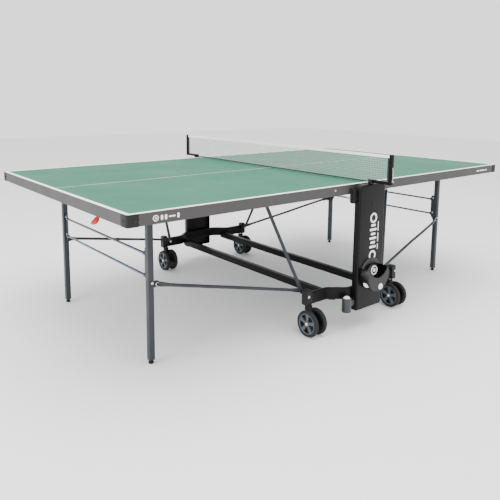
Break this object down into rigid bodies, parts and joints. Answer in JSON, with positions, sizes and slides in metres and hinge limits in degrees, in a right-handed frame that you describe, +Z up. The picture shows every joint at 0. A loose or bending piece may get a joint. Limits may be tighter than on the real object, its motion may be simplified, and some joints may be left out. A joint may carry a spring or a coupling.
{
  "type": "table tennis table",
  "caption": "Roll-away outdoor table tennis table: two folding green halves on a wheeled trolley, with side towers, a stretched net and bat and ball holders.",
  "frame": {"origin": "on the floor under the middle of the net", "axes": "+X along the length of the table, +Y across it away from the bat holder, +Z up"},
  "size_m": [2.74, 1.846, 0.9165],
  "materials": {
    "green_surface": "weather-proof melamine playing surface, satin, dark green with white painted lines",
    "apron_paint": "dark grey powder coat on steel",
    "anthracite_paint": "anthracite powder coat on steel tube",
    "black_paint": "black powder coat on pressed steel",
    "moulded_plastic": "black injection-moulded polypropylene",
    "red_plastic": "red injection-moulded nylon",
    "black_rubber": "black rubber tread and sole",
    "zinc_plate": "bright zinc plated steel rod",
    "net_mesh": "woven polyester mesh with a white tape along its top"
  },
  "bodies": {
    "trolley": {"near_foot_bar": "anthracite_paint", "far_foot_bar": "anthracite_paint", "left_cross_rail": "black_paint", "right_cross_rail": "black_paint", "near_tower": "black_paint", "far_tower": "black_paint", "near_net_post": "black_paint", "far_net_post": "black_paint", "net": "net_mesh", "bat_holder": "moulded_plastic", "ball_tube": "moulded_plastic"},
    "left_struts": {"left_near_strut": "anthracite_paint", "left_far_strut": "anthracite_paint"},
    "left_half": {"left_board": "green_surface", "left_end_apron": "apron_paint", "left_near_side_apron": "apron_paint", "left_far_side_apron": "apron_paint", "left_near_corner_cap": "moulded_plastic", "left_far_corner_cap": "moulded_plastic", "left_inner_bar": "black_paint", "left_leg_pivot_bar": "black_paint", "left_strut_pivot_bar": "black_paint"},
    "left_legs": {"left_near_leg": "anthracite_paint", "left_far_leg": "anthracite_paint", "left_upper_cross_rod": "zinc_plate", "left_lower_cross_rod": "zinc_plate"},
    "left_leg_links": {"left_near_leg_link": "anthracite_paint", "left_far_leg_link": "anthracite_paint"},
    "left_lever": {"left_release_lever": "red_plastic"},
    "left_near_levelling_foot": {"left_near_foot": "black_rubber"},
    "left_near_caster": {"left_near_caster_housing": "moulded_plastic"},
    "left_near_wheel": {"left_near_twin_wheel": "black_rubber"},
    "left_far_levelling_foot": {"left_far_foot": "black_rubber"},
    "left_far_caster": {"left_far_caster_housing": "moulded_plastic"},
    "left_far_wheel": {"left_far_twin_wheel": "black_rubber"},
    "right_struts": {"right_near_strut": "anthracite_paint", "right_far_strut": "anthracite_paint"},
    "right_half": {"right_board": "green_surface", "right_end_apron": "apron_paint", "right_near_side_apron": "apron_paint", "right_far_side_apron": "apron_paint", "right_near_corner_cap": "moulded_plastic", "right_far_corner_cap": "moulded_plastic", "right_inner_bar": "black_paint", "right_leg_pivot_bar": "black_paint", "right_strut_pivot_bar": "black_paint"},
    "right_legs": {"right_near_leg": "anthracite_paint", "right_far_leg": "anthracite_paint", "right_upper_cross_rod": "zinc_plate", "right_lower_cross_rod": "zinc_plate"},
    "right_leg_links": {"right_near_leg_link": "anthracite_paint", "right_far_leg_link": "anthracite_paint"},
    "right_lever": {"right_release_lever": "red_plastic"},
    "right_near_levelling_foot": {"right_near_foot": "black_rubber"},
    "right_near_caster": {"right_near_caster_housing": "moulded_plastic"},
    "right_near_wheel": {"right_near_twin_wheel": "black_rubber"},
    "right_far_levelling_foot": {"right_far_foot": "black_rubber"},
    "right_far_caster": {"right_far_caster_housing": "moulded_plastic"},
    "right_far_wheel": {"right_far_twin_wheel": "black_rubber"}
  },
  "joints": [
    {"name": "left_fold", "type": "hinge", "parent": "left_struts", "child": "left_half", "pos_m": [-0.513, 0, 0.735], "axis": [0, 1, 0], "range_deg": [0, 44.35]},
    {"name": "left_strut_swing", "type": "hinge", "parent": "trolley", "child": "left_struts", "pos_m": [-0.331, 0, 0.205], "axis": [0, 1, 0], "range_deg": [0, 39.7]},
    {"name": "left_leg_fold", "type": "hinge", "parent": "left_half", "child": "left_legs", "pos_m": [-1.125, 0, 0.733], "axis": [0, -1, 0], "range_deg": [0, 66.3]},
    {"name": "left_link_swing", "type": "hinge", "parent": "trolley", "child": "left_leg_links", "pos_m": [-0.345, 0, 0.218], "axis": [0, 1, 0], "range_deg": [0, 82.97]},
    {"name": "left_lever_squeeze", "type": "hinge", "parent": "left_half", "child": "left_lever", "pos_m": [-1.334, -0.44, 0.702], "axis": [0, 1, 0], "range_deg": [0, 20], "stiffness_Nm_per_rad": 0.5},
    {"name": "left_near_foot_turn", "type": "hinge", "parent": "left_legs", "child": "left_near_levelling_foot", "pos_m": [-1.125, -0.485, 0.007], "axis": [0, 0, 1], "range_deg": [-720, 720]},
    {"name": "left_near_caster_swivel", "type": "hinge", "parent": "trolley", "child": "left_near_caster", "pos_m": [-0.335, -0.695, 0.157], "axis": [0, 0, 1], "continuous": true},
    {"name": "left_near_wheel_roll", "type": "hinge", "parent": "left_near_caster", "child": "left_near_wheel", "pos_m": [-0.335, -0.723, 0.0685], "axis": [1, 0, 0], "continuous": true},
    {"name": "left_far_foot_turn", "type": "hinge", "parent": "left_legs", "child": "left_far_levelling_foot", "pos_m": [-1.125, 0.485, 0.007], "axis": [0, 0, 1], "range_deg": [-720, 720]},
    {"name": "left_far_caster_swivel", "type": "hinge", "parent": "trolley", "child": "left_far_caster", "pos_m": [-0.335, 0.695, 0.157], "axis": [0, 0, 1], "continuous": true},
    {"name": "left_far_wheel_roll", "type": "hinge", "parent": "left_far_caster", "child": "left_far_wheel", "pos_m": [-0.335, 0.667, 0.0685], "axis": [1, 0, 0], "continuous": true},
    {"name": "right_fold", "type": "hinge", "parent": "right_struts", "child": "right_half", "pos_m": [0.513, 0, 0.735], "axis": [0, -1, 0], "range_deg": [0, 44.35]},
    {"name": "right_strut_swing", "type": "hinge", "parent": "trolley", "child": "right_struts", "pos_m": [0.331, 0, 0.205], "axis": [0, -1, 0], "range_deg": [0, 39.7]},
    {"name": "right_leg_fold", "type": "hinge", "parent": "right_half", "child": "right_legs", "pos_m": [1.125, 0, 0.733], "axis": [0, 1, 0], "range_deg": [0, 66.3]},
    {"name": "right_link_swing", "type": "hinge", "parent": "trolley", "child": "right_leg_links", "pos_m": [0.345, 0, 0.218], "axis": [0, -1, 0], "range_deg": [0, 82.97]},
    {"name": "right_lever_squeeze", "type": "hinge", "parent": "right_half", "child": "right_lever", "pos_m": [1.334, -0.44, 0.702], "axis": [0, -1, 0], "range_deg": [0, 20], "stiffness_Nm_per_rad": 0.5},
    {"name": "right_near_foot_turn", "type": "hinge", "parent": "right_legs", "child": "right_near_levelling_foot", "pos_m": [1.125, -0.485, 0.007], "axis": [0, 0, 1], "range_deg": [-720, 720]},
    {"name": "right_near_caster_swivel", "type": "hinge", "parent": "trolley", "child": "right_near_caster", "pos_m": [0.335, -0.695, 0.157], "axis": [0, 0, 1], "continuous": true},
    {"name": "right_near_wheel_roll", "type": "hinge", "parent": "right_near_caster", "child": "right_near_wheel", "pos_m": [0.335, -0.723, 0.0685], "axis": [1, 0, 0], "continuous": true},
    {"name": "right_far_foot_turn", "type": "hinge", "parent": "right_legs", "child": "right_far_levelling_foot", "pos_m": [1.125, 0.485, 0.007], "axis": [0, 0, 1], "range_deg": [-720, 720]},
    {"name": "right_far_caster_swivel", "type": "hinge", "parent": "trolley", "child": "right_far_caster", "pos_m": [0.335, 0.695, 0.157], "axis": [0, 0, 1], "continuous": true},
    {"name": "right_far_wheel_roll", "type": "hinge", "parent": "right_far_caster", "child": "right_far_wheel", "pos_m": [0.335, 0.667, 0.0685], "axis": [1, 0, 0], "continuous": true}
  ],
  "couplings": [
    {"joint": "left_strut_swing", "follows": "left_fold", "ratio": 0.89392},
    {"joint": "left_leg_fold", "follows": "left_fold", "ratio": 1.4937},
    {"joint": "left_link_swing", "follows": "left_fold", "ratio": 1.8697},
    {"joint": "right_strut_swing", "follows": "right_fold", "ratio": 0.89392},
    {"joint": "right_leg_fold", "follows": "right_fold", "ratio": 1.4937},
    {"joint": "right_link_swing", "follows": "right_fold", "ratio": 1.8697}
  ]
}
